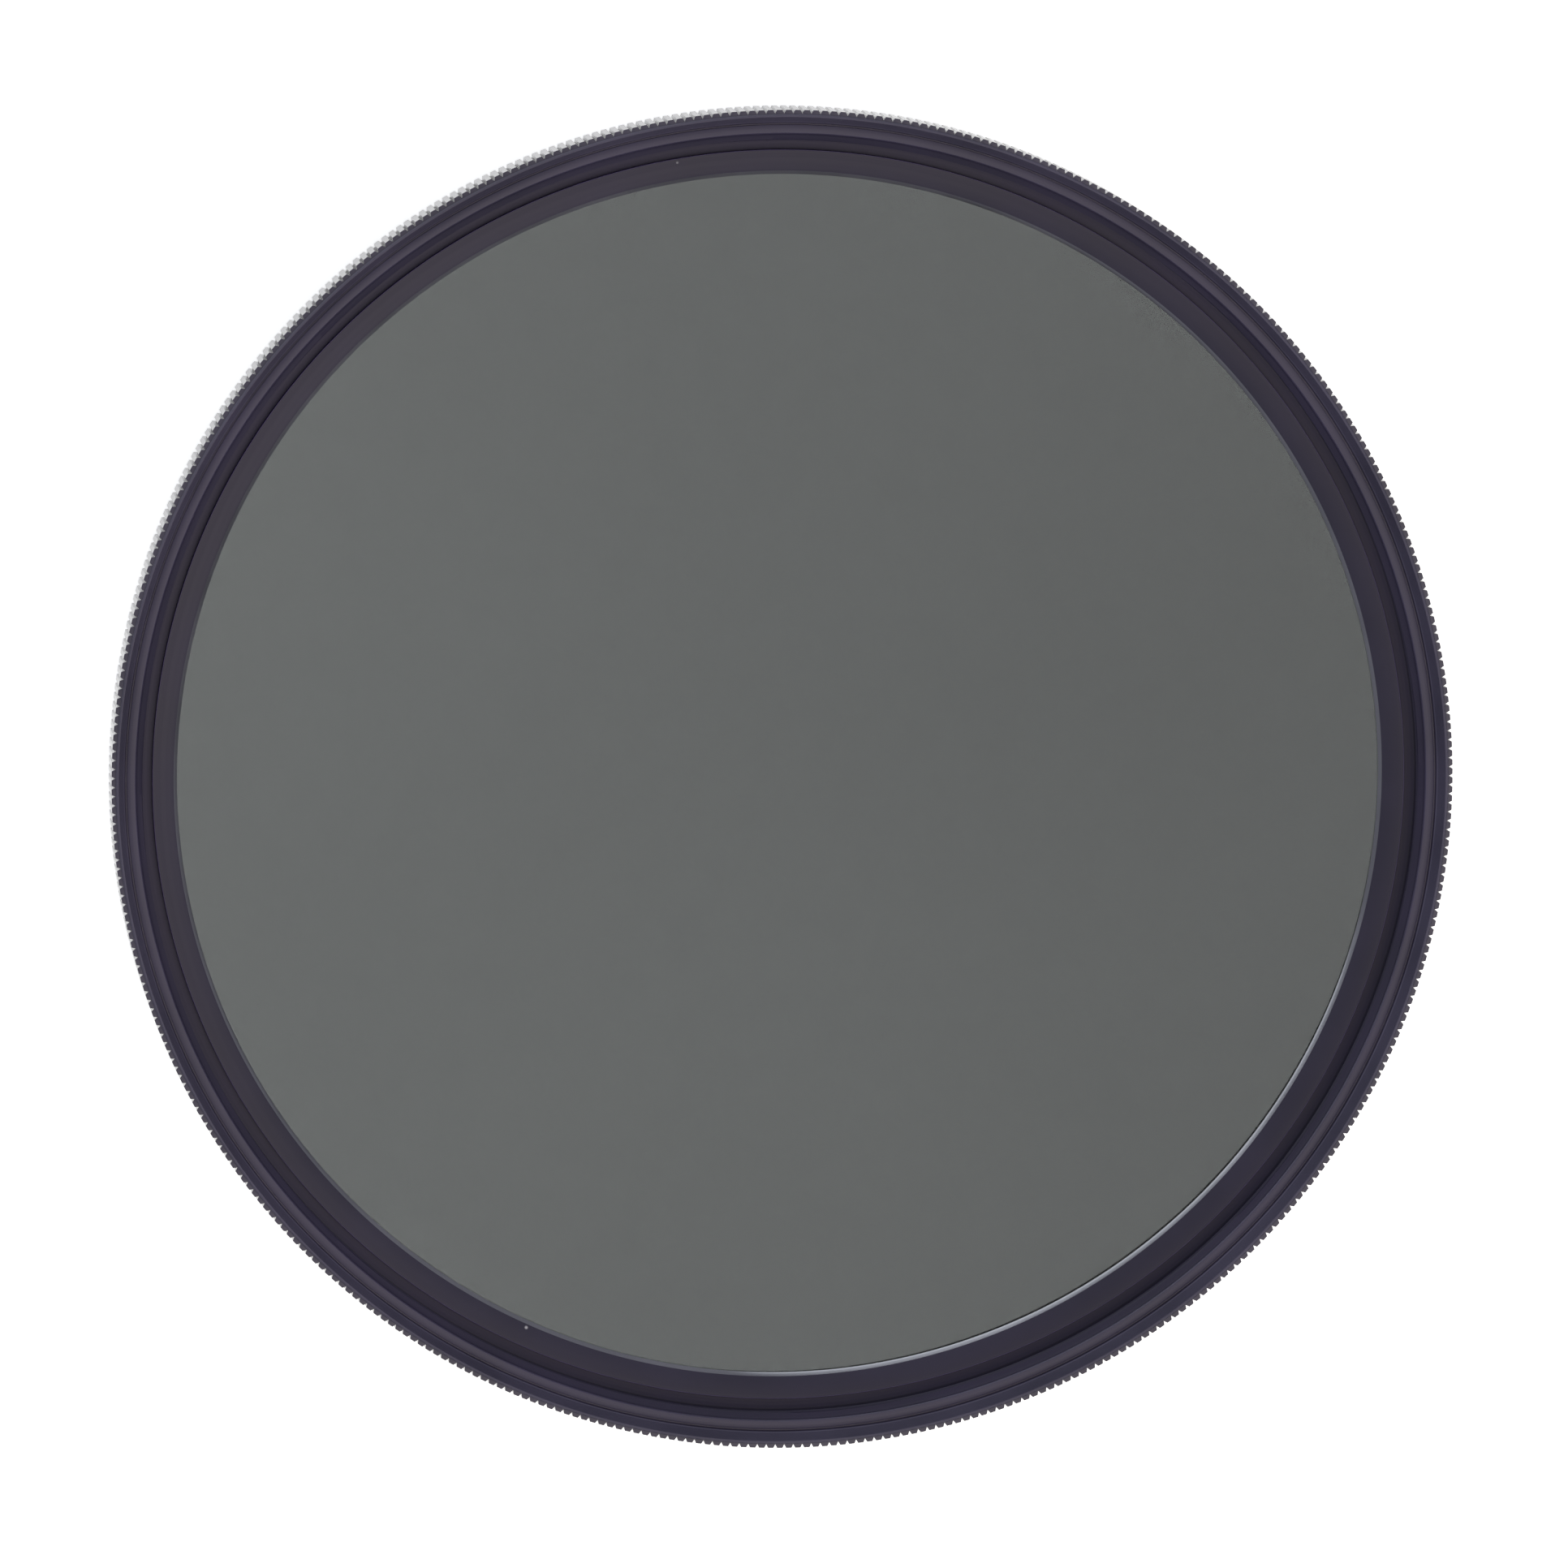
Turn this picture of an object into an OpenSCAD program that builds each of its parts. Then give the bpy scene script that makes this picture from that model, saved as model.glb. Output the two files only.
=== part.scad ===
// Circular polarizing filter, standing on the rear end of its male thread, front side up.
// The origin is the middle of that rear end, and +Z points out of the front.

/* [Thread] */
// Nominal diameter of the filter thread, male at the rear and female in the front
thread_d = 77; // [67:0.5:86]
// Pitch of both threads
thread_pitch = 0.75; // [0.5:0.25:1]
// Length of the male thread below the flange
male_thread_h = 2.4; // [2:0.1:3.2]
// Depth of the female thread below the land
front_thread_h = 1.6; // [1.4:0.05:2.4]
// Height of the lead-in at the mouth of the female thread
thread_lead = 0.2; // [0.15:0.05:0.4]

/* [Rear ring] */
// Wall between the male thread's crest and the ring's bore
male_wall = 1.05; // [0.9:0.05:1.3]
// How far the flange stands out past the thread
flange_w = 0.9; // [0.6:0.05:1.2]
// Thickness of the flange
flange_h = 1; // [0.8:0.1:1.6]

/* [Front ring] */
// Thickness of the floor around the glass cell, where the retaining ring's seat is
seat_floor_t = 0.45; // [0.35:0.05:0.9]
// Wall between the thread's nominal diameter and the knurl's tips
rim_wall = 1.5; // [1.35:0.05:1.8]
// Height of the rim above the flat land
rim_h = 1.3; // [0.9:0.05:1.6]
// Width of the flat land around the female thread
land_w = 0.55; // [0.4:0.05:0.65]
// Width and depth of the fine groove between the land and the rim
land_groove = 0.12; // [0.08:0.01:0.16]
// Flat width on top of the rim
rim_crest_w = 0.1; // [0.08:0.01:0.25]
// Edge break between the top of the rim and its outside
rim_edge = 0.08; // [0.05:0.01:0.15]
// Depth of the knurl
knurl_depth = 0.22; // [0.15:0.01:0.35]
// Distance from one knurl tooth to the next
knurl_pitch = 0.5415; // [0.5:0.0005:0.8]
// Bevel on the lower edge of the ring, below the knurl
knurl_bevel = 0.38; // [0.36:0.01:0.5]
// Step from the ring's plain edge to the knurl, outward to its bottom and down to its end
knurl_step = 0.03; // [0.02:0.01:0.06]
// Wall of the cell that holds the glass
cell_wall = 0.66; // [0.6:0.01:0.85]
// Width of the ledge that the glass rests on
ledge_w = 0.45; // [0.35:0.05:0.9]
// Thickness of that ledge
ledge_t = 0.5; // [0.4:0.05:0.8]

/* [Glass] */
// Thickness of the front glass disc
front_glass_t = 0.9; // [0.8:0.05:1]
// Thickness of the linear polarizing film
polarizing_film_t = 0.2; // [0.1:0.05:0.3]
// Thickness of the quarter-wave film
wave_film_t = 0.1; // [0.05:0.05:0.2]
// Thickness of the rear glass disc
rear_glass_t = 0.9; // [0.8:0.05:1]

/* [Retaining ring] */
// Width of the ring from its outside to the clear window
retainer_w = 1.5; // [1.2:0.05:1.8]
// Height of the ring's crest above the glass
retainer_h = 0.95; // [0.85:0.05:1.4]
// Height of the inner wall around the window
window_wall_h = 0.25; // [0.2:0.05:0.5]
// Chamfer on the edge of the window, between that wall and the ring's slope
window_chamfer = 0.22; // [0.1:0.02:0.3]
// Height of the ring's threaded seat, up to the floor of the channel around its crest
retainer_seat_h = 0.5; // [0.4:0.05:0.7]

/* [Snap wire] */
// Diameter of the spring wire that holds the two rings together
wire_d = 0.45; // [0.35:0.05:0.5]
// Angle left open between the wire's ends
wire_gap_angle = 9; // [5:1:20]

/* [Clearances] */
// Radial clearance between the turning cell and the rear ring's bore
turn_clearance = 0.06; // [0.03:0.01:0.09]
// Gap between the flange and the turning ring
ring_gap = 0.1; // [0.05:0.01:0.2]
// Radial clearance around the glass
glass_clearance = 0.05; // [0.02:0.01:0.1]
// Radial clearance around the retaining ring
retainer_clearance = 0.05; // [0.02:0.01:0.1]
// Drop from the glass's front down to the seat around it, so that the ring clamps the glass
seat_drop = 0.1; // [0.04:0.01:0.12]
// Step inward from the female thread to the retaining ring's seat
retainer_step = 0.6; // [0.5:0.05:0.7]
// How far the relief below the female thread is cut outside the thread's nominal radius
thread_relief = 0.05; // [0.05:0.01:0.2]
// Room between the retaining ring's crest and the end of the female thread
crest_drop = 0.1; // [0.08:0.01:0.2]
// Height added to the wire's diameter in its grooves
wire_clearance = 0.15; // [0.1:0.01:0.2]
// How far the wire reaches into the rear ring's groove
wire_grip = 0.18; // [0.14:0.01:0.2]
// Radial room outside the wire in the rear ring's groove
wire_room = 0.08; // [0.05:0.01:0.12]

/* [Hidden] */
$fn = 180;

// Radii
thread_r = thread_d / 2;
// Depth of a metric thread's flank is 0.5413 of its pitch
minor_r = thread_r - 0.5413 * thread_pitch;
bore_r = thread_r - male_wall;
cell_outer_r = bore_r - turn_clearance;
cell_inner_r = cell_outer_r - cell_wall;
glass_r = cell_inner_r - glass_clearance;
ledge_r = cell_inner_r - ledge_w;
seat_r = minor_r - retainer_step;
retainer_r = seat_r - retainer_clearance;
window_r = retainer_r - retainer_w;
relief_r = thread_r + thread_relief;
tip_r = thread_r + rim_wall;
root_r = tip_r - knurl_depth;
body_r = root_r - knurl_step;
rim_foot_r = tip_r - knurl_bevel;
rim_outer_r = body_r - rim_edge;
rim_inner_r = rim_outer_r - rim_crest_w;
land_r = thread_r + land_w;
groove_r = land_r + land_groove;
flange_r = thread_r + flange_w;
teeth = round(2 * PI * tip_r / knurl_pitch);

// Heights
flange_top = male_thread_h + flange_h;
ring_bottom = flange_top + ring_gap;
seat_z = ring_bottom + seat_floor_t;
glass_front = seat_z + seat_drop;
channel_floor = glass_front + retainer_seat_h;
thread_bottom = glass_front + retainer_h + crest_drop;
land_z = thread_bottom + front_thread_h;
rim_top = land_z + rim_h;
knurl_bottom = ring_bottom + knurl_bevel;
knurl_top = rim_top - rim_edge - knurl_step;
polarizing_front = glass_front - front_glass_t;
wave_front = polarizing_front - polarizing_film_t;
rear_glass_front = wave_front - wave_film_t;
glass_back = rear_glass_front - rear_glass_t;
cell_bottom = glass_back - ledge_t;

// Snap wire and its two grooves
wire_z = (cell_bottom + ring_bottom) / 2;
wire_r = bore_r + wire_grip - wire_d / 2;
wire_half_h = (wire_d + wire_clearance) / 2;
inner_groove_r = wire_r - wire_d / 2;
outer_groove_r = bore_r + wire_grip + wire_room;

// Small edge breaks
edge = 0.1;
thread_bevel = thread_r - minor_r;

module rear_ring() {
    color([0.16, 0.15, 0.18])
    rotate_extrude()
    polygon([
        [bore_r + edge, 0],
        [minor_r, 0],
        [thread_r, thread_bevel],
        [thread_r, male_thread_h],
        [flange_r - edge, male_thread_h],
        [flange_r, male_thread_h + edge],
        [flange_r, flange_top - edge],
        [flange_r - edge, flange_top],
        [bore_r + edge, flange_top],
        [bore_r, flange_top - edge],
        [bore_r, wire_z + wire_half_h],
        [outer_groove_r, wire_z + wire_half_h],
        [outer_groove_r, wire_z - wire_half_h],
        [bore_r, wire_z - wire_half_h],
        [bore_r, edge]
    ]);
}

// Section of the front ring: glass cell below, female thread, land and rim above
module front_ring_section() {
    polygon([
        [ledge_r, cell_bottom],
        [cell_outer_r - edge, cell_bottom],
        [cell_outer_r, cell_bottom + edge],
        [cell_outer_r, wire_z - wire_half_h],
        [inner_groove_r, wire_z - wire_half_h],
        [inner_groove_r, wire_z + wire_half_h],
        [cell_outer_r, wire_z + wire_half_h],
        [cell_outer_r, ring_bottom],
        [rim_foot_r, ring_bottom],
        [body_r, ring_bottom + body_r - rim_foot_r],
        [body_r, rim_top - rim_edge],
        [rim_outer_r, rim_top],
        [rim_inner_r, rim_top],
        [groove_r, land_z],
        [groove_r, land_z - land_groove],
        [land_r, land_z - land_groove],
        [land_r, land_z],
        [thread_r, land_z],
        [minor_r, land_z - thread_lead],
        [minor_r, thread_bottom],
        [relief_r, thread_bottom],
        [relief_r, channel_floor],
        [seat_r, channel_floor],
        [seat_r, seat_z],
        [cell_inner_r, seat_z],
        [cell_inner_r, glass_back],
        [ledge_r, glass_back]
    ]);
}

// Outline of the knurl: pointed teeth with straight flanks
module knurl_outline() {
    half = 180 / teeth;
    polygon([for (i = [0 : teeth - 1]) for (s = [0, 1])
        let (a = (2 * i + s) * half, r = s == 0 ? tip_r : root_r)
        [r * cos(a), r * sin(a)]]);
}

module front_ring() {
    color([0.20, 0.19, 0.22]) {
        rotate_extrude() front_ring_section();
        translate([0, 0, knurl_bottom])
            linear_extrude(knurl_top - knurl_bottom)
            difference() {
                knurl_outline();
                circle(r = rim_outer_r);
            }
    }
}

module retaining_ring() {
    color([0.18, 0.17, 0.21])
    rotate_extrude()
    polygon([
        [window_r, glass_front],
        [retainer_r, glass_front],
        [retainer_r, glass_front + retainer_h],
        [window_r + window_chamfer, glass_front + window_wall_h + window_chamfer],
        [window_r, glass_front + window_wall_h]
    ]);
}

module disc(bottom, thickness) {
    translate([0, 0, bottom]) cylinder(r = glass_r, h = thickness);
}

module front_glass() {
    color([0.55, 0.56, 0.57]) disc(polarizing_front, front_glass_t);
}

module polarizing_film() {
    color([0.35, 0.35, 0.36]) disc(wave_front, polarizing_film_t);
}

module quarter_wave_film() {
    color([0.60, 0.60, 0.62]) disc(rear_glass_front, wave_film_t);
}

module rear_glass() {
    color([0.55, 0.56, 0.57]) disc(glass_back, rear_glass_t);
}

module snap_wire() {
    color([0.62, 0.63, 0.66])
    rotate([0, 0, wire_gap_angle / 2])
    rotate_extrude(angle = 360 - wire_gap_angle)
    translate([wire_r, wire_z]) circle(d = wire_d, $fn = 32);
}

rear_ring();
front_ring();
retaining_ring();
front_glass();
polarizing_film();
quarter_wave_film();
rear_glass();
snap_wire();
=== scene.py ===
import math

import bmesh
import bpy
import numpy as np
from mathutils import Matrix, Vector


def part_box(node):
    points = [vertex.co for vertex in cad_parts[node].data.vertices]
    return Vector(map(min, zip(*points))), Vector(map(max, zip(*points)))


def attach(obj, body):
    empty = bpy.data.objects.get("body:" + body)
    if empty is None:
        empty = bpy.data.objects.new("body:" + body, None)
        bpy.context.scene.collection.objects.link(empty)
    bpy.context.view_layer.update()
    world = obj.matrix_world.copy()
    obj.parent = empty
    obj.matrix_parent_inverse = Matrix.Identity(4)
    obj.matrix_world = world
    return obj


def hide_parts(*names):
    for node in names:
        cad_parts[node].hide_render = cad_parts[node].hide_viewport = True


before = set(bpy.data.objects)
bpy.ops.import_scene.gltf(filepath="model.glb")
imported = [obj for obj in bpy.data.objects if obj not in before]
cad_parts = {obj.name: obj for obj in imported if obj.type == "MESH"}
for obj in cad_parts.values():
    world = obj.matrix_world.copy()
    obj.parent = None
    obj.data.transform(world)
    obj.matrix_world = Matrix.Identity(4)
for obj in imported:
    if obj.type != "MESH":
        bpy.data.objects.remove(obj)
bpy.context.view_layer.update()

MM = 0.001
BODY_STILL = "root"
BODY_TURNING = "turning_ring"

# Sizes in millimetres, as the solids have them
PITCH = 0.75
THREAD_R = 38.5
MINOR_R = THREAD_R - 0.5413 * PITCH
THREAD_RELIEF = 0.05
FLANGE_H = 1.0
RING_GAP = 0.1
KNURL_DEPTH = 0.22
KNURL_BEVEL = 0.38
KNURL_TEETH = 464
KNURL_STEP = 0.03
RIM_EDGE = 0.08
CREST_W = 0.1
LAND_W = 0.55
LAND_GROOVE = 0.12
RIM_H = 1.3
CELL_WALL = 0.66
LEDGE_W = 0.45
RETAINER_W = 1.5
RETAINER_SEAT_H = 0.5
WINDOW_WALL_H = 0.25
WINDOW_CHAMFER = 0.22
GLASS_CLEARANCE = 0.05
TURN_CLEARANCE = 0.06
SEAT_DROP = 0.1
CREST_DROP = 0.1
WIRE_GAP_ANGLE = 9
WIRE_CLEARANCE = 0.15
WIRE_ROOM = 0.08

# Sizes in millimetres that only this model has. First the ends and depths of the real threads
MALE_THREAD_DEPTH = 0.42
MALE_THREAD_START = 0.12
LIP_H = 0.12
SCREWED_GAP = 0.01
# Facets that soften the rim's edge, its foot, the groove beside it and the lip of the thread
EDGE_FACET = 0.01
FOOT_FACET_W = 0.035
FOOT_FACET_H = 0.06
FOOT_RISE = 0.01
GROOVE_FACET_W = 0.06
GROOVE_DROP = 0.04
LIP_FACET_W = 0.06
LIP_FACET_H = 0.07
# Bevels of the glass discs and of the films, and the air that keeps their faces apart for the renderer
GLASS_BEVEL = 0.12
FILM_BEVEL = 0.02
HAIR = 0.004

# Where a knurl tooth's flat tip starts and ends, as shares of the distance between teeth
KNURL_TIP = (0.21, 0.79)


def box_mm(node):
    """A node's radius, lowest and highest point, in millimetres."""
    low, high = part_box(node)
    return high[0] / MM, low[2] / MM, high[2] / MM


TIP_R, CELL_BOTTOM, RIM_TOP = box_mm("front_ring")
FLANGE_R, FOOT_Z, FLANGE_TOP = box_mm("rear_ring")
RETAINER_R, GLASS_FRONT, CREST_Z = box_mm("retaining_ring")
GLASS_R, FILM_FRONT, _ = box_mm("front_glass")
_, WAVE_FRONT, _ = box_mm("polarizing_film")
_, REAR_GLASS_FRONT, _ = box_mm("quarter_wave_film")
_, GLASS_BACK, _ = box_mm("rear_glass")
WIRE_OUTER_R, WIRE_LOW, WIRE_HIGH = box_mm("snap_wire")

BODY_R = TIP_R - KNURL_DEPTH - KNURL_STEP
LAND_R = THREAD_R + LAND_W
RIM_FOOT_R = LAND_R + LAND_GROOVE
RELIEF_R = THREAD_R + THREAD_RELIEF
# The retaining ring is screwed into its seat, and their threads fill the clearance that the solids have
SEAT_R = RETAINER_R + SCREWED_GAP
WINDOW_R = RETAINER_R - RETAINER_W
CELL_INNER_R = GLASS_R + GLASS_CLEARANCE
CELL_OUTER_R = CELL_INNER_R + CELL_WALL
LEDGE_R = CELL_INNER_R - LEDGE_W
BORE_R = CELL_OUTER_R + TURN_CLEARANCE

LAND_Z = RIM_TOP - RIM_H
RING_BOTTOM = FLANGE_TOP + RING_GAP
FLANGE_BOTTOM = FLANGE_TOP - FLANGE_H
SEAT_Z = GLASS_FRONT - SEAT_DROP
THREAD_BOTTOM = CREST_Z + CREST_DROP
CHANNEL_FLOOR = GLASS_FRONT + RETAINER_SEAT_H

WIRE_D = WIRE_HIGH - WIRE_LOW
WIRE_Z = (WIRE_HIGH + WIRE_LOW) / 2
WIRE_R = WIRE_OUTER_R - WIRE_D / 2
WIRE_HALF_H = (WIRE_D + WIRE_CLEARANCE) / 2
GROOVE_INNER_R = WIRE_R - WIRE_D / 2
GROOVE_OUTER_R = WIRE_OUTER_R + WIRE_ROOM


# Meshes of turned parts

RETAINER_COLUMNS = 720
REAR_COLUMNS = 900
DISC_COLUMNS = 360
SHARP_ANGLE = 38


def rounded(corners):
    """A closed section from corners (r, z, fillet), each fillet an arc of a few points."""
    points = []
    count = len(corners)
    for i, (r, z, fillet) in enumerate(corners):
        here = Vector((r, z))
        if fillet <= 0:
            points.append((r, z))
            continue
        before = Vector(corners[i - 1][:2]) - here
        after = Vector(corners[(i + 1) % count][:2]) - here
        half = before.angle(after) / 2
        reach = fillet / math.tan(half)
        start = here + before.normalized() * reach
        end = here + after.normalized() * reach
        centre = here + (before.normalized() + after.normalized()).normalized() * fillet / math.sin(half)
        for t in (0.0, 0.5, 1.0):
            on_arc = centre + (start.lerp(end, t) - centre).normalized() * fillet
            points.append((on_arc.x, on_arc.y))
    return points


def section_rows(points, turns):
    """Rows of a plain turned section: radius and height for every column."""
    return [(np.full_like(turns, r), np.full_like(turns, z)) for r, z in points]


def thread_rows(turns, low, high, root_r, crest_r, run_in, run_out):
    """Rows of a one-start thread from low to high, fading out over run_in and run_out at its ends."""
    profile = np.array([0.0, 0.0, 0.34, 0.67, 1.0, 1.0, 0.67, 0.34, 0.0])
    steps = len(profile) - 1
    count = int(math.ceil((high - low) / PITCH * steps)) + steps
    rows = []
    for i in range(count + 1):
        along = i / steps - turns
        z = np.clip(low + PITCH * along, low, high)
        phase = np.mod(along, 1.0)
        height = np.interp(phase, np.linspace(0, 1, steps + 1), profile)
        fade = np.clip((z - low) / run_in, 0, 1) * np.clip((high - z) / run_out, 0, 1)
        rows.append((root_r + (crest_r - root_r) * height * fade, z))
    return rows


def turned(name, rows, turns, closed=True):
    """A mesh from rows of radius and height, joined along the rows and, if closed, last row to first."""
    count = len(turns)
    angle = 2 * math.pi * turns
    verts = []
    for radius, z in rows:
        verts.append(np.column_stack((radius * np.cos(angle), radius * np.sin(angle), z)) * MM)
    verts = np.vstack(verts)
    column = np.arange(count - 1)
    faces = []
    last = len(rows) if closed else len(rows) - 1
    for i in range(last):
        a = i * count
        b = ((i + 1) % len(rows)) * count
        faces.append(np.column_stack((a + column, a + column + 1, b + column + 1, b + column)))
    mesh = bpy.data.meshes.new(name)
    mesh.from_pydata(verts.tolist(), [], np.vstack(faces).tolist())
    work = bmesh.new()
    work.from_mesh(mesh)
    bmesh.ops.remove_doubles(work, verts=work.verts, dist=2e-7)
    bmesh.ops.dissolve_degenerate(work, edges=work.edges, dist=1e-8)
    bmesh.ops.recalc_face_normals(work, faces=work.faces)
    work.to_mesh(mesh)
    work.free()
    mesh.shade_smooth()
    mesh.set_sharp_from_angle(angle=math.radians(SHARP_ANGLE))
    piece = bpy.data.objects.new(name, mesh)
    bpy.context.scene.collection.objects.link(piece)
    return piece


def columns(count):
    """Turns from 0 to 1 for count columns, with the last one on the first."""
    return np.linspace(0, 1, count + 1)


# Materials

# The dye is a very dark purple. The scales of the textures are in features to the metre.
DYE_DARK = (0.018, 0.0150, 0.0275)
DYE_LIGHT = (0.024, 0.0198, 0.0363)
DUST = (0.42, 0.41, 0.40)
TURNING_SCALE = 9000.0
GRAIN_SCALE = 5200.0
CLOUD_SCALE = 160.0
DUST_SCALE = 330.0
TINT_SCALE = 24.0
DRAWN_SCALE = 30000.0
DUST_FREE_SHARE = 0.965
# Metallic share of the span that, with its lightened band, paints a highlight line
METALLIC_SHARE = 0.65


class Nodes:
    """Short names for building one material's node tree."""

    def __init__(self, name):
        self.material = bpy.data.materials.new(name)
        self.material.use_nodes = True
        self.tree = self.material.node_tree
        self.tree.nodes.clear()
        self.output = self.tree.nodes.new("ShaderNodeOutputMaterial")

    def add(self, kind, **values):
        node = self.tree.nodes.new("ShaderNode" + kind)
        for key, value in values.items():
            setattr(node, key, value)
        return node

    def link(self, source, target):
        self.tree.links.new(source, target)

    def put(self, target, value):
        """Links value to the socket if it's a socket, and sets it there otherwise."""
        if isinstance(value, bpy.types.NodeSocket):
            self.link(value, target)
        else:
            target.default_value = value

    def maths(self, operation, first, second=0.0):
        node = self.add("Math", operation=operation)
        self.put(node.inputs[0], first)
        self.put(node.inputs[1], second)
        return node.outputs[0]

    def spread(self, value, low, high, new_low, new_high):
        node = self.add("MapRange")
        for i, item in enumerate((value, low, high, new_low, new_high)):
            self.put(node.inputs[i], item)
        return node.outputs[0]

    def blend(self, factor, first, second):
        node = self.add("Mix", data_type="RGBA")
        self.put(node.inputs["Factor"], factor)
        self.put(node.inputs["A"], first)
        self.put(node.inputs["B"], second)
        return node.outputs["Result"]

    def noise(self, where, scale, detail=3.0):
        node = self.add("TexNoise")
        self.put(node.inputs["Vector"], where)
        node.inputs["Scale"].default_value = scale
        node.inputs["Detail"].default_value = detail
        return node.outputs["Fac"]


def colour(r, g, b):
    return (r, g, b, 1.0)


def anodised(name, roughness, bands, metallic_span=None):
    """Dyed anodised aluminium with fine turning marks and a few specks of dust.

    Each band of radii multiplies the tone by its own factor and has its own roughness; on the front ring and
    the retaining ring a lighter band is painted light and a darker band is painted shade on the dye. A band
    gives where it starts and ends, the width of its edges, its tone factor and its roughness. Between the two
    radii of the last argument the surface is partly metallic, which with a lightened band paints a highlight.
    """
    n = Nodes(name)
    place = n.add("TexCoord").outputs["Object"]
    axes = n.add("SeparateXYZ")
    n.link(place, axes.inputs[0])
    radius = n.maths("SQRT", n.maths("ADD", n.maths("POWER", axes.outputs[0], 2.0),
                                     n.maths("POWER", axes.outputs[1], 2.0)))
    lathe = n.add("CombineXYZ")
    n.link(radius, lathe.inputs[0])
    n.link(axes.outputs[2], lathe.inputs[1])
    turning = n.noise(lathe.outputs[0], TURNING_SCALE, 2.0)
    cloud = n.noise(place, CLOUD_SCALE, 4.0)
    grain = n.noise(place, GRAIN_SCALE, 2.0)
    tone = n.blend(n.spread(cloud, 0.35, 0.65, 0.0, 1.0), colour(*DYE_DARK), colour(*DYE_LIGHT))
    base = roughness
    # Each band multiplies the tone by its factor; on the front ring and the retaining ring this paints light
    # and shade
    for low, high, edge, factor, band_roughness in bands:
        inside = n.maths("MULTIPLY", n.spread(radius, low * MM, (low + edge) * MM, 0.0, 1.0),
                         n.spread(radius, (high - edge) * MM, high * MM, 1.0, 0.0))
        shaded = n.add("Mix", data_type="RGBA", blend_type="MULTIPLY")
        shaded.inputs["Factor"].default_value = 1.0
        n.link(tone, shaded.inputs["A"])
        n.link(n.blend(inside, colour(1.0, 1.0, 1.0), colour(*factor)), shaded.inputs["B"])
        tone = shaded.outputs["Result"]
        base = n.maths("ADD", base, n.maths("MULTIPLY", inside, band_roughness - roughness))

    cells = n.add("TexVoronoi", feature="F1")
    cells.inputs["Scale"].default_value = DUST_SCALE
    n.link(place, cells.inputs["Vector"])
    pick = n.add("SeparateColor")
    n.link(cells.outputs["Color"], pick.inputs[0])
    chosen = n.maths("GREATER_THAN", pick.outputs[0], DUST_FREE_SHARE)
    close = n.spread(cells.outputs["Distance"], 0.02, 0.045, 1.0, 0.0)
    dust = n.maths("MULTIPLY", chosen, close)
    surface = n.add("BsdfPrincipled")
    n.link(n.blend(dust, tone, colour(*DUST)), surface.inputs["Base Color"])
    # The metallic share between these radii goes with a lightened band to paint a highlight line
    if metallic_span:
        in_metallic_span = n.maths("MULTIPLY", n.maths("GREATER_THAN", radius, metallic_span[0] * MM),
                               n.maths("LESS_THAN", radius, metallic_span[1] * MM))
        n.link(n.maths("MULTIPLY", in_metallic_span, METALLIC_SHARE), surface.inputs["Metallic"])
    surface.inputs["IOR"].default_value = 1.42
    sheen = n.spread(turning, 0.3, 0.7, -0.04, 0.04)
    worn = n.maths("ADD", sheen, n.spread(cloud, 0.3, 0.7, -0.02, 0.03))
    n.link(n.maths("ADD", base, worn), surface.inputs["Roughness"])
    bump = n.add("Bump")
    bump.inputs["Strength"].default_value = 0.25
    bump.inputs["Distance"].default_value = 0.004 * MM
    relief = n.maths("ADD", turning, n.maths("MULTIPLY", grain, 0.35))
    n.link(relief, bump.inputs["Height"])
    n.link(bump.outputs[0], surface.inputs["Normal"])
    n.link(surface.outputs[0], n.output.inputs[0])
    return n.material


def clear_sheet(name, tint, fade=0.004, gloss=True):
    """A see-through disc whose tint is painted lighter towards -X, a painted light falloff across it.

    Each face tints what is behind it, and mirrors the room if it's glossy.
    """
    n = Nodes(name)
    place = n.add("TexCoord").outputs["Object"]
    axes = n.add("SeparateXYZ")
    n.link(place, axes.inputs[0])
    # The tint is painted lighter towards -X by fade, a painted light falloff across the disc, with random
    # cloudiness on top
    across = n.spread(axes.outputs[0], -GLASS_R * MM, GLASS_R * MM, 1.0, 0.0)
    cloud = n.spread(n.noise(place, TINT_SCALE, 2.0), 0.3, 0.7, -0.1, 0.1)
    lit_side_tint = colour(*(min(1.0, part * (1.0 + fade)) for part in tint))
    through = n.add("BsdfTransparent")
    n.link(n.blend(n.maths("ADD", across, cloud), colour(*tint), lit_side_tint), through.inputs["Color"])
    if not gloss:
        n.link(through.outputs[0], n.output.inputs[0])
        return n.material
    mirror = n.add("BsdfGlossy")
    mirror.inputs["Color"].default_value = colour(1.0, 1.0, 1.0)
    mirror.inputs["Roughness"].default_value = 0.02
    fresnel = n.add("Fresnel")
    fresnel.inputs["IOR"].default_value = 1.28
    both = n.add("MixShader")
    n.link(fresnel.outputs[0], both.inputs[0])
    n.link(through.outputs[0], both.inputs[1])
    n.link(mirror.outputs[0], both.inputs[2])
    n.link(both.outputs[0], n.output.inputs[0])
    return n.material


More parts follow.
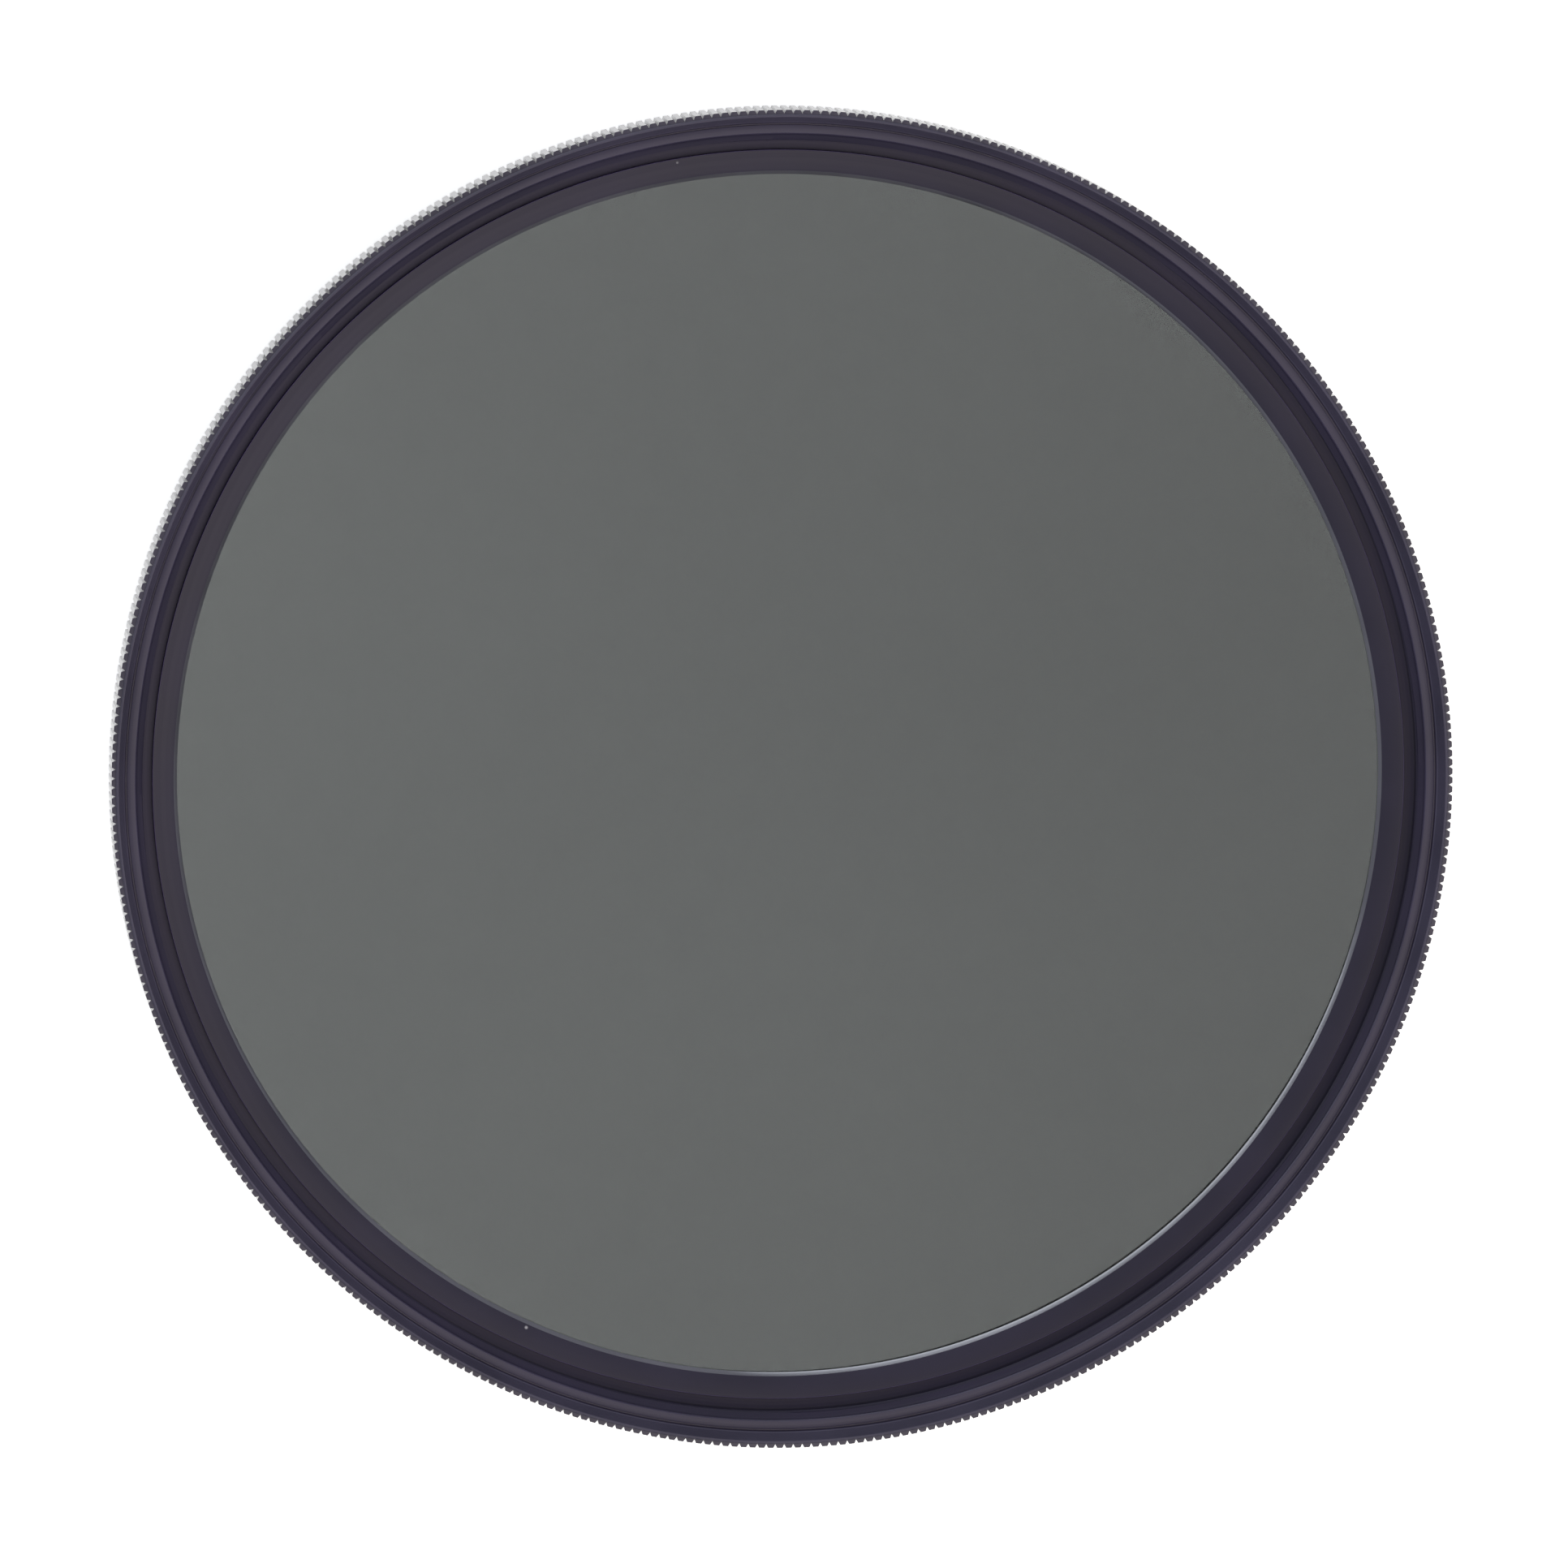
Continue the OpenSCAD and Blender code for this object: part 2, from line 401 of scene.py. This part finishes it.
def spring_steel(name):
    """Drawn spring wire with fine lines along it."""
    n = Nodes(name)
    place = n.add("TexCoord").outputs["Object"]
    axes = n.add("SeparateXYZ")
    n.link(place, axes.inputs[0])
    lines = n.noise(axes.outputs[2], DRAWN_SCALE, 2.0)
    surface = n.add("BsdfPrincipled")
    n.link(n.blend(lines, colour(0.34, 0.34, 0.35), colour(0.52, 0.52, 0.53)), surface.inputs["Base Color"])
    surface.inputs["Metallic"].default_value = 1.0
    n.link(n.spread(lines, 0.3, 0.7, 0.25, 0.4), surface.inputs["Roughness"])
    n.link(surface.outputs[0], n.output.inputs[0])
    return n.material


# Pieces

def finish(piece, material, body, nodes):
    piece.data.materials.append(material)
    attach(piece, body)
    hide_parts(*nodes)
    return piece


def knurl_columns():
    """Three columns for each tooth: one in the groove and two at the edges of the tooth's tip."""
    tooth = np.arange(KNURL_TEETH)[:, None] + np.array([0.0, *KNURL_TIP])[None, :]
    return np.append(tooth.ravel() / KNURL_TEETH, 1.0)


def knurled(rows, turns):
    """Cuts the knurl's grooves into the rows: each column is held inside its own outer radius."""
    place = np.mod(np.arange(len(turns)), 3)
    limit = np.where(place == 0, TIP_R - KNURL_DEPTH, TIP_R)
    return [(np.minimum(radius, limit), z) for radius, z in rows]


def make_front_ring():
    turns = knurl_columns()
    bevel_r = TIP_R - KNURL_BEVEL
    rim_outer = BODY_R - RIM_EDGE
    rim_inner = rim_outer - CREST_W
    edge_z = RIM_TOP - RIM_EDGE
    groove_z = LAND_Z - LAND_GROOVE
    thread_top = LAND_Z - LIP_H
    outside = [
        (CELL_OUTER_R, WIRE_Z + WIRE_HALF_H, 0),
        (CELL_OUTER_R, RING_BOTTOM, 0.05),
        (bevel_r, RING_BOTTOM, 0.05),
        (TIP_R - KNURL_DEPTH, RING_BOTTOM + KNURL_BEVEL - KNURL_DEPTH, 0),
        (TIP_R, RING_BOTTOM + KNURL_BEVEL, 0),
        (TIP_R, edge_z - KNURL_STEP, 0),
        (BODY_R, edge_z - EDGE_FACET, 0),
        (BODY_R - EDGE_FACET, edge_z + EDGE_FACET, 0),
        (rim_outer, RIM_TOP, 0.02),
        (rim_inner, RIM_TOP, 0.03),
        (RIM_FOOT_R + FOOT_FACET_W, LAND_Z + FOOT_FACET_H, 0),
        (RIM_FOOT_R, LAND_Z + FOOT_RISE, 0),
        (RIM_FOOT_R, LAND_Z - GROOVE_DROP, 0),
        (RIM_FOOT_R - GROOVE_FACET_W, groove_z, 0),
        (LAND_R, groove_z, 0),
        (LAND_R, LAND_Z, 0.03),
        (THREAD_R + LIP_FACET_W, LAND_Z, 0.02),
        (THREAD_R, LAND_Z - LIP_FACET_H, 0),
        (THREAD_R, thread_top, 0),
    ]
    inside = [
        (THREAD_R, THREAD_BOTTOM, 0),
        (RELIEF_R, THREAD_BOTTOM, 0),
        (RELIEF_R, CHANNEL_FLOOR, 0.04),
        (SEAT_R, CHANNEL_FLOOR, 0),
        (SEAT_R, SEAT_Z, 0.04),
        (CELL_INNER_R, SEAT_Z, 0.04),
        (CELL_INNER_R, GLASS_BACK, 0),
        (LEDGE_R, GLASS_BACK, 0.05),
        (LEDGE_R, CELL_BOTTOM, 0.08),
        (CELL_OUTER_R, CELL_BOTTOM, 0.1),
        (CELL_OUTER_R, WIRE_Z - WIRE_HALF_H, 0),
        (GROOVE_INNER_R, WIRE_Z - WIRE_HALF_H, 0.03),
        (GROOVE_INNER_R, WIRE_Z + WIRE_HALF_H, 0.03),
    ]
    whole = rounded(outside + inside)
    cut = whole.index((THREAD_R, thread_top)) + 1
    thread = thread_rows(turns, THREAD_BOTTOM, thread_top, THREAD_R, MINOR_R, 0.2, 0.3)
    rows = section_rows(whole[:cut], turns) + thread[::-1] + section_rows(whole[cut:], turns)
    piece = turned("turning_ring_knurled", knurled(rows, turns), turns)
    # Painted light and shade on the dye, band by band: the channel floor and seat are lightened and made bluer
    # and the groove is lightened, against the shade that falls in them; the thread flanks are darkened as
    # painted shade; the land, the rim's foot edge, the rim's slope and the knurl are lightened as painted light
    floor = (CELL_INNER_R, MINOR_R, 0.02, (1.08, 0.96, 1.30), 0.50)
    flanks = (MINOR_R, THREAD_R - 0.01, 0.02, (0.70, 0.62, 0.86), 0.58)
    land = (THREAD_R - 0.01, RIM_FOOT_R, 0.01, (1.75, 1.78, 1.78), 0.34)
    groove = (LAND_R, RIM_FOOT_R, 0.01, (1.6, 1.65, 1.35), 0.34)
    foot_edge = (RIM_FOOT_R, RIM_FOOT_R + 0.07, 0.01, (1.7, 1.75, 1.6), 0.34)
    slope = (RIM_FOOT_R, BODY_R, 0.02, (2.4, 2.6, 2.15), 0.45)
    knurl = (BODY_R, TIP_R + 1, 0.02, (1.7, 1.85, 1.55), 0.13)
    look = anodised("anodised_front", 0.36, [floor, flanks, land, groove, foot_edge, slope, knurl])
    return finish(piece, look, BODY_TURNING, ["front_ring"])


def make_retaining_ring():
    turns = columns(RETAINER_COLUMNS)
    section = rounded([
        (WINDOW_R, GLASS_FRONT, 0.03),
        (RETAINER_R, GLASS_FRONT, 0.05),
        (RETAINER_R, CREST_Z, 0.03),
        (WINDOW_R + WINDOW_CHAMFER, GLASS_FRONT + WINDOW_WALL_H + WINDOW_CHAMFER, 0.02),
        (WINDOW_R, GLASS_FRONT + WINDOW_WALL_H, 0),
    ])
    piece = turned("retaining_ring_sloped", section_rows(section, turns), turns)
    # Painted light and shade on the dye: the window chamfer's band is a painted highlight line, far lighter,
    # smoother and partly metallic; the slope's band is painted shade; the outer wall's band is painted light
    # against the channel's shade
    metallic_span = (WINDOW_R - 1, WINDOW_R + WINDOW_CHAMFER)
    chamfer = (*metallic_span, 0.01, (7.5, 9.1, 5.2), 0.16)
    slope = (WINDOW_R + 0.4, RETAINER_R + 1, 0.9, (0.70, 0.65, 0.82), 0.44)
    wall = (RETAINER_R - 0.03, RETAINER_R + 1, 0.01, (5.5, 5.1, 6.0), 0.44)
    look = anodised("anodised_retainer", 0.42, [chamfer, slope, wall], metallic_span)
    return finish(piece, look, BODY_TURNING, ["retaining_ring"])


def make_rear_ring():
    turns = columns(REAR_COLUMNS)
    root = THREAD_R - MALE_THREAD_DEPTH
    thread_start = FOOT_Z + MALE_THREAD_START
    section = rounded([
        (BORE_R, WIRE_Z + WIRE_HALF_H, 0),
        (GROOVE_OUTER_R, WIRE_Z + WIRE_HALF_H, 0.03),
        (GROOVE_OUTER_R, WIRE_Z - WIRE_HALF_H, 0.03),
        (BORE_R, WIRE_Z - WIRE_HALF_H, 0),
        (BORE_R, FOOT_Z, 0.1),
        (root, FOOT_Z, 0.05),
        (root, thread_start, 0),
        (root, FLANGE_BOTTOM, 0),
        (FLANGE_R, FLANGE_BOTTOM, 0.1),
        (FLANGE_R, FLANGE_TOP, 0.1),
        (BORE_R, FLANGE_TOP, 0.1),
    ])
    cut = section.index((root, thread_start)) + 1
    thread = thread_rows(turns, thread_start, FLANGE_BOTTOM, root, THREAD_R, 0.35, 0.2)
    rows = section_rows(section[:cut], turns) + thread + section_rows(section[cut:], turns)
    piece = turned("rear_ring_threaded", rows, turns)
    thread_crests = (THREAD_R - 0.15, THREAD_R + 0.05, 0.02, (1.2, 1.2, 1.2), 0.24)
    look = anodised("anodised_rear", 0.38, [thread_crests])
    return finish(piece, look, BODY_STILL, ["rear_ring"])


def make_disc(name, low, high, bevel, material, node, cemented=None, inner_side=0):
    """One disc of the stack, a hair thinner than the space from low to high.

    The face on its inner side, -1 below or 1 above, gets the cemented material.
    """
    turns = columns(DISC_COLUMNS)
    low += HAIR
    high -= HAIR
    shares = (0.0, 0.3, 0.65, 0.9)
    section = [(GLASS_R * share, high) for share in shares]
    section += [(GLASS_R - bevel, high), (GLASS_R, high - bevel)]
    section += [(GLASS_R, low + bevel), (GLASS_R - bevel, low)]
    section += [(GLASS_R * share, low) for share in reversed(shares)]
    piece = turned(name, section_rows(section, turns), turns, closed=False)
    finish(piece, material, BODY_TURNING, [node])
    if cemented:
        piece.data.materials.append(cemented)
        for face in piece.data.polygons:
            if face.normal.z * inner_side > 0.9:
                face.material_index = 1
    return piece


def make_glass():
    """The cemented stack of four discs."""
    glass_tint = (0.985, 0.99, 0.988)
    clear = clear_sheet("clear_glass", glass_tint)
    cement = clear_sheet("cemented_face", glass_tint, gloss=False)
    # The polarizer's fade paints its tint lighter towards -X, a painted light falloff
    polarizer = clear_sheet("polarizer_tint", (0.370, 0.381, 0.381), fade=0.16, gloss=False)
    retarder = clear_sheet("retarder_tint", (0.985, 0.985, 0.98), gloss=False)
    make_disc("front_glass_disc", FILM_FRONT, GLASS_FRONT, GLASS_BEVEL, clear,
              "front_glass", cement, -1)
    make_disc("polarizer_sheet", WAVE_FRONT, FILM_FRONT, FILM_BEVEL, polarizer,
              "polarizing_film")
    make_disc("retarder_sheet", REAR_GLASS_FRONT, WAVE_FRONT, FILM_BEVEL, retarder,
              "quarter_wave_film")
    make_disc("rear_glass_disc", GLASS_BACK, REAR_GLASS_FRONT, GLASS_BEVEL, clear,
              "rear_glass", cement, 1)


def make_snap_wire():
    """The split wire, with rounded ends either side of the gap on +X."""
    around = 16
    steps = 260
    cap = 5
    half_gap = math.radians(WIRE_GAP_ANGLE) / 2
    open_turn = 2 * math.pi - 2 * half_gap
    cap_angles = [math.pi / 2 * (i + 1) / (cap + 1) for i in range(cap)]
    cap_reach = 0.9 * WIRE_D / 2 / WIRE_R
    # Each ring of points: its place along the turn, its share of the wire's radius and its shift into the cap
    rings = [(half_gap, math.sin(a), -math.cos(a)) for a in cap_angles]
    rings += [(half_gap + open_turn * i / steps, 1.0, 0.0) for i in range(steps + 1)]
    rings += [(half_gap + open_turn, math.sin(a), math.cos(a)) for a in reversed(cap_angles)]
    verts = []
    faces = []
    for angle, share, along in rings:
        turn = angle + along * cap_reach
        for k in range(around):
            side = 2 * math.pi * k / around
            r = WIRE_R + WIRE_D / 2 * share * math.cos(side)
            z = WIRE_Z + WIRE_D / 2 * share * math.sin(side)
            verts.append((r * math.cos(turn) * MM, r * math.sin(turn) * MM, z * MM))
    for i in range(len(rings) - 1):
        for k in range(around):
            a = i * around + k
            b = i * around + (k + 1) % around
            faces.append((a, b, b + around, a + around))
    faces.append(tuple(range(around)))
    faces.append(tuple(range(len(verts) - around, len(verts))))
    mesh = bpy.data.meshes.new("spring_wire")
    mesh.from_pydata(verts, [], faces)
    work = bmesh.new()
    work.from_mesh(mesh)
    bmesh.ops.recalc_face_normals(work, faces=work.faces)
    work.to_mesh(mesh)
    work.free()
    mesh.shade_smooth()
    piece = bpy.data.objects.new("spring_wire", mesh)
    bpy.context.scene.collection.objects.link(piece)
    return finish(piece, spring_steel("drawn_steel"), BODY_TURNING, ["snap_wire"])


# Studio

def make_floor():
    """A plain white floor. Seen directly it's lifted to white, and it keeps the shadow."""
    half = 1.5
    below = -2e-5
    plain = (0.80, 0.80, 0.80)
    seen_white = (0.96, 0.97, 0.86)
    lift_strength = 0.68
    corners = [(-half, -half, below), (half, -half, below), (half, half, below), (-half, half, below)]
    mesh = bpy.data.meshes.new("floor")
    mesh.from_pydata(corners, [], [(0, 1, 2, 3)])
    floor = bpy.data.objects.new("floor", mesh)
    bpy.context.scene.collection.objects.link(floor)
    n = Nodes("floor_white")
    path = n.add("LightPath")
    seen = n.maths("MAXIMUM", path.outputs["Is Camera Ray"],
                   n.maths("MAXIMUM", path.outputs["Is Glossy Ray"], path.outputs["Is Transmission Ray"]))
    matt = n.add("BsdfDiffuse")
    n.link(n.blend(seen, colour(*plain), colour(*seen_white)), matt.inputs["Color"])
    lift = n.add("Emission")
    n.link(n.spread(seen, 0.0, 1.0, 0.0, lift_strength), lift.inputs["Strength"])
    total = n.add("AddShader")
    n.link(matt.outputs[0], total.inputs[0])
    n.link(lift.outputs[0], total.inputs[1])
    n.link(total.outputs[0], n.output.inputs[0])
    mesh.materials.append(n.material)


def make_world():
    """A studio dome: low, even light, and a broad bright patch near the top, towards the lower right."""
    low_light = (0.51, 0.52, 0.62)
    patch_light = (1.95, 1.80, 1.82)
    patch_lean = math.radians(25.0)
    patch_side = math.radians(-45.0)
    patch_reach = 0.74
    patch_core = 0.985
    world = bpy.data.worlds.new("studio")
    world.use_nodes = True
    bpy.context.scene.world = world
    tree = world.node_tree
    tree.nodes.clear()
    output = tree.nodes.new("ShaderNodeOutputWorld")
    dome = tree.nodes.new("ShaderNodeBackground")
    place = tree.nodes.new("ShaderNodeTexCoord")
    towards = tree.nodes.new("ShaderNodeVectorMath")
    towards.operation = "DOT_PRODUCT"
    towards.inputs[1].default_value = (math.sin(patch_lean) * math.cos(patch_side),
                                       math.sin(patch_lean) * math.sin(patch_side), math.cos(patch_lean))
    patch = tree.nodes.new("ShaderNodeMapRange")
    patch.interpolation_type = "SMOOTHSTEP"
    patch.inputs["From Min"].default_value = patch_reach
    patch.inputs["From Max"].default_value = patch_core
    tint = tree.nodes.new("ShaderNodeMix")
    tint.data_type = "RGBA"
    tint.inputs["A"].default_value = colour(*low_light)
    tint.inputs["B"].default_value = colour(*patch_light)
    tree.links.new(place.outputs["Generated"], towards.inputs[0])
    tree.links.new(towards.outputs["Value"], patch.inputs["Value"])
    tree.links.new(patch.outputs["Result"], tint.inputs["Factor"])
    tree.links.new(tint.outputs["Result"], dome.inputs["Color"])
    tree.links.new(dome.outputs[0], output.inputs[0])


def add_lamp(name, azimuth, elevation, distance, width, height, radiance, tint):
    """A rectangular soft light aimed at the filter, of the given brightness as seen from it."""
    a = math.radians(azimuth)
    e = math.radians(elevation)
    lamp = bpy.data.lights.new(name, "AREA")
    lamp.shape = "RECTANGLE"
    lamp.size = width
    lamp.size_y = height
    lamp.energy = radiance * math.pi * width * height
    lamp.color = tint
    holder = bpy.data.objects.new(name, lamp)
    holder.location = Vector((math.cos(a) * math.cos(e), math.sin(a) * math.cos(e), math.sin(e))) * distance
    holder.rotation_euler = holder.location.to_track_quat("Z", "Y").to_euler()
    bpy.context.scene.collection.objects.link(holder)
    return holder


def make_camera():
    """Looks down on the filter from 7.8 degrees off its axis, leaning to the upper left."""
    lean = math.radians(7.8)
    towards = math.radians(128.0)
    distance = 1.0
    frame_width = 0.0932
    aim = Vector((-0.025, -0.125, RIM_TOP)) * MM
    out = Vector((math.sin(lean) * math.cos(towards), math.sin(lean) * math.sin(towards), math.cos(lean)))
    right = Vector((0.0, 1.0, 0.0)).cross(out).normalized()
    up = out.cross(right)
    camera = bpy.data.cameras.new("photo_view")
    camera.sensor_width = 36.0
    camera.lens = camera.sensor_width * distance / frame_width
    camera.clip_start = 0.01
    holder = bpy.data.objects.new("photo_view", camera)
    turn = Matrix((right, up, out)).transposed()
    holder.matrix_world = Matrix.Translation(aim + out * distance) @ turn.to_4x4()
    bpy.context.scene.collection.objects.link(holder)
    bpy.context.scene.camera = holder


make_front_ring()
make_retaining_ring()
make_rear_ring()
make_glass()
make_snap_wire()

make_floor()
make_world()
add_lamp("low_window_light", azimuth=124.0, elevation=9.0, distance=0.90, width=1.60, height=0.14, radiance=3.8,
         tint=(0.90, 0.95, 1.0))
make_camera()
bpy.context.scene.view_settings.view_transform = "Standard"
